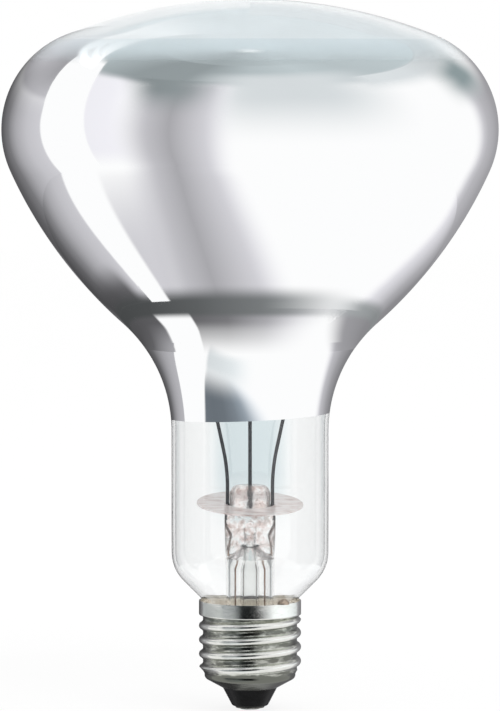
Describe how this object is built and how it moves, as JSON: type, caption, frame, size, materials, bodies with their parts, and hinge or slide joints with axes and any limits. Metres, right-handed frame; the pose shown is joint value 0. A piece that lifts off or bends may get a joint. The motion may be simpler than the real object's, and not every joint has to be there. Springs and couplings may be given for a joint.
{
  "type": "infrared heat lamp bulb",
  "caption": "Infrared reflector heat lamp: mirrored glass bowl with a clear face and neck, glass stem, mica shield and an E27 screw cap.",
  "frame": {"origin": "middle of the flat on the centre contact's solder, the lamp's lowest point, on the lamp's axis", "axes": "+Z along the lamp's axis from the contact to the dome; -Y towards the viewer of the picture; +X to the right"},
  "size_m": [0.126, 0.126, 0.1811],
  "materials": {
    "clear_glass": "gloss",
    "mirror_film": "mirror",
    "stem_glass": "gloss",
    "mica": "satin",
    "nickel_wire": "satin",
    "seal_wire": "satin",
    "copper_wire": "satin",
    "hook_wire": "satin",
    "tungsten": "matte",
    "cap_shell": "satin",
    "black_glass": "gloss",
    "contact_brass": "satin",
    "solder": "satin",
    "brown_solder": "satin",
    "cement": "matte"
  },
  "bodies": {
    "root": {"basing_cement": "cement", "cap_insulator": "black_glass", "centre_contact": "contact_brass", "centre_solder": "solder", "exhaust_tube": "stem_glass", "filament": "tungsten", "filament_clamp_left": "nickel_wire", "filament_clamp_right": "nickel_wire", "glass_bulb": "clear_glass", "heat_shield_disc": "mica", "lead_inner_left": "nickel_wire", "lead_inner_right": "nickel_wire", "lead_outer_contact": "copper_wire", "lead_outer_shell": "copper_wire", "lead_seal_left": "seal_wire", "lead_seal_right": "seal_wire", "mirror_coating": "mirror_film", "screw_shell": "cap_shell", "shield_clip_left": "nickel_wire", "shield_clip_right": "nickel_wire", "side_solder": "brown_solder", "stem_glass": "stem_glass", "support_bead": "stem_glass", "support_hook_1": "hook_wire", "support_hook_2": "hook_wire", "support_hook_3": "hook_wire", "support_post": "nickel_wire"}
  },
  "joints": []
}
